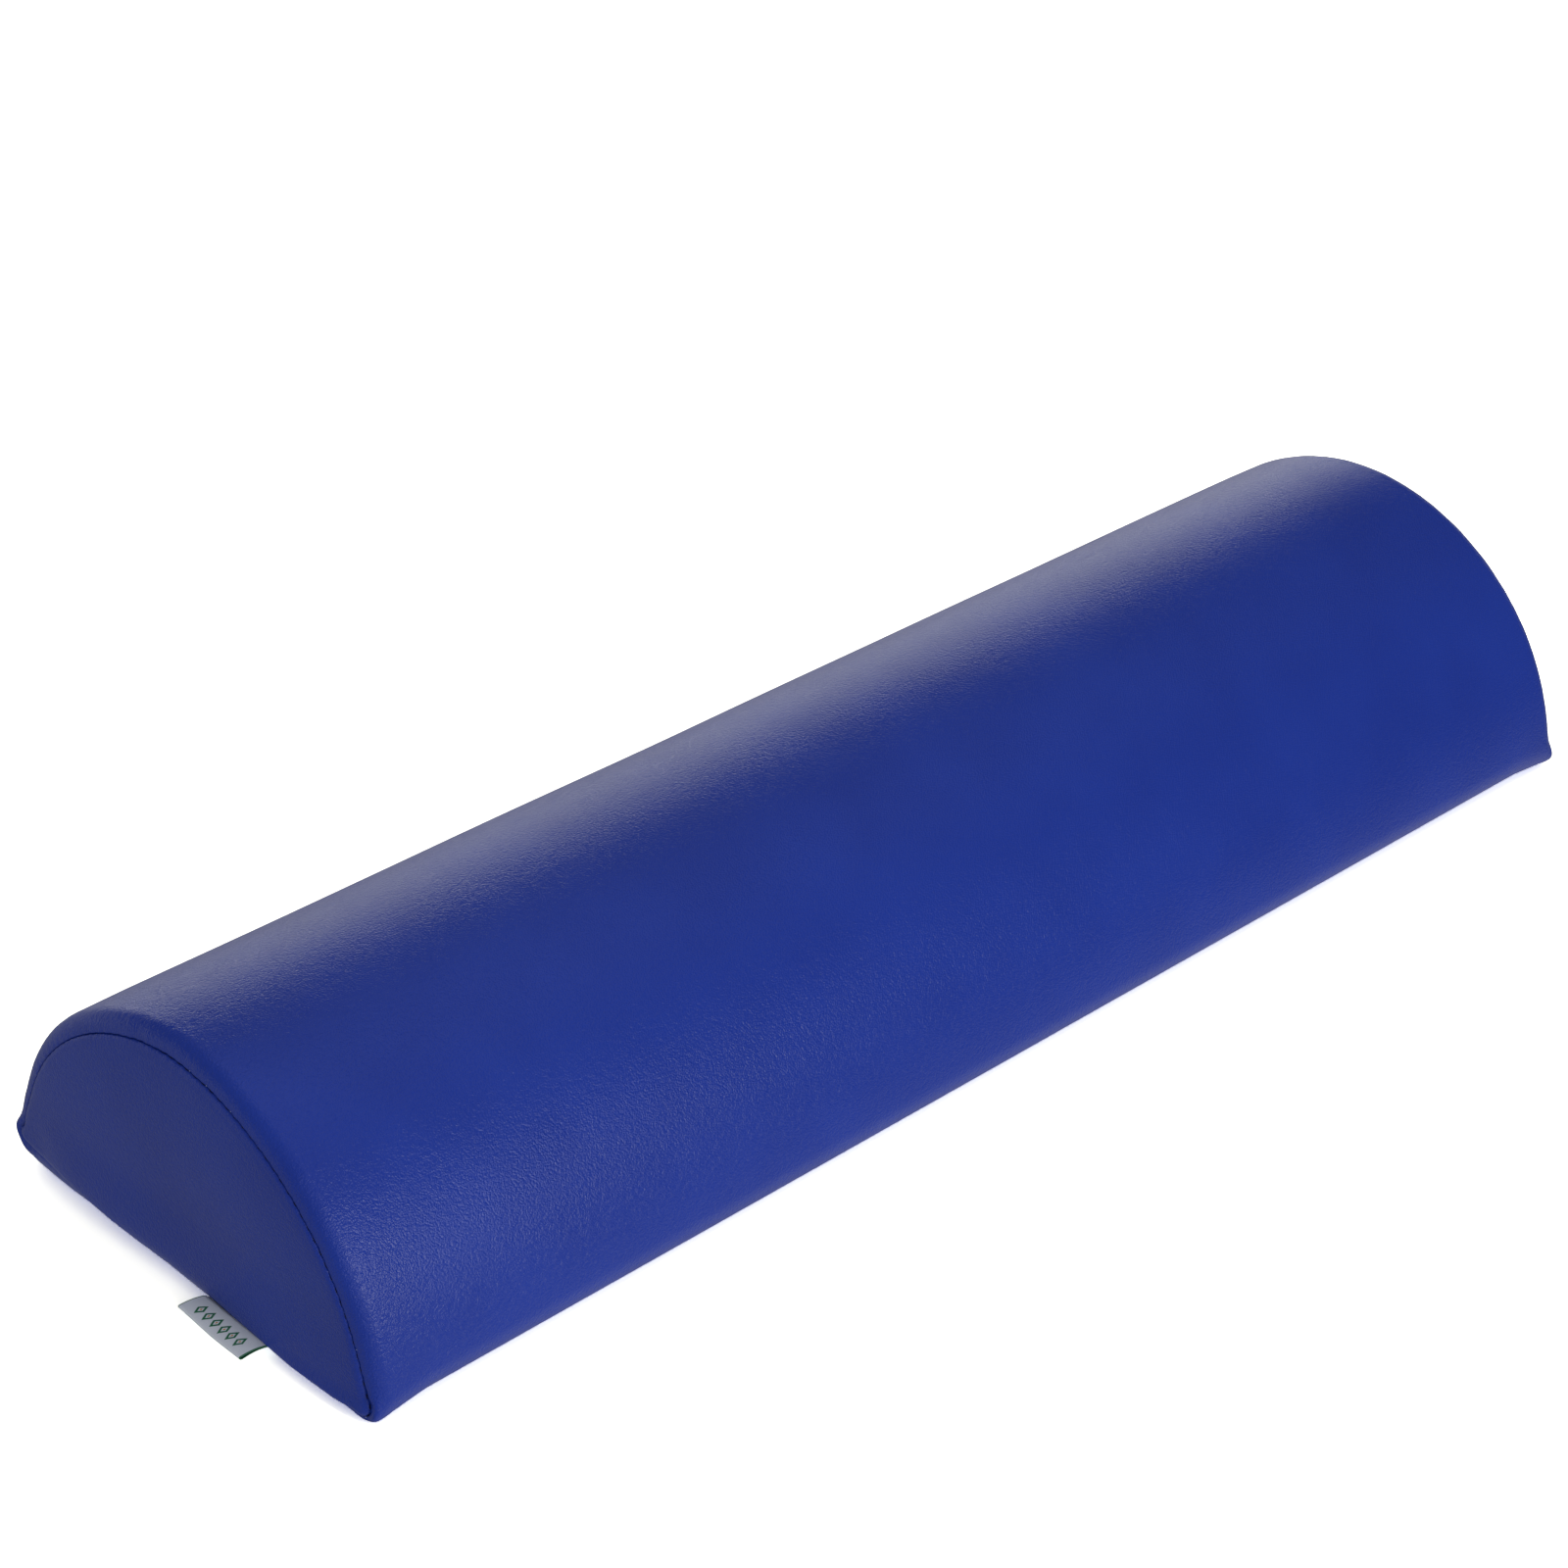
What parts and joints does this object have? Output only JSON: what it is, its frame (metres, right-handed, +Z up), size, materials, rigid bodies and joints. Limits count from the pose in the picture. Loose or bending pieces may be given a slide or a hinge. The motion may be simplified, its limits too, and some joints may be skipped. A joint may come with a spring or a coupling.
{
  "type": "positioning bolster",
  "caption": "Half-round positioning bolster: a foam half-cylinder in a sewn vinyl cover with a full-length zip in its flat underside.",
  "frame": {"origin": "on the floor, at the centre of the flat underside", "axes": "+X along the length, with the label end at -X; +Y across the width, with the label's side at -Y; +Z up, from the flat underside to the crown"},
  "size_m": [0.6151, 0.1998, 0.1],
  "materials": {
    "vinyl": "fine-grained royal blue vinyl, soft sheen",
    "foam": "open-cell cream foam",
    "zip_tape": "woven black tape",
    "zip_coil": "nylon coil",
    "slider_metal": "satin die-cast metal",
    "thread": "dark navy sewing thread",
    "ribbon": "woven satin ribbon"
  },
  "bodies": {
    "cover": {"foam_core": "foam", "body_panel": "vinyl", "label_end_panel": "vinyl", "plain_end_panel": "vinyl", "zip_tape_front": "zip_tape", "zip_tape_back": "zip_tape", "zip_coil_front": "zip_coil", "zip_coil_back": "zip_coil", "zip_topstitch_front": "thread", "zip_topstitch_back": "thread", "label_end_seam_thread": "thread", "plain_end_seam_thread": "thread", "side_label": "ribbon"},
    "slider": {"zip_slider": "slider_metal"}
  },
  "joints": [
    {"name": "zip_slide", "type": "slide", "parent": "cover", "child": "slider", "axis": [-1, 0, 0], "range_m": [0, 0.5694], "deforming": ["zip_coil_front", "zip_coil_back"]}
  ]
}
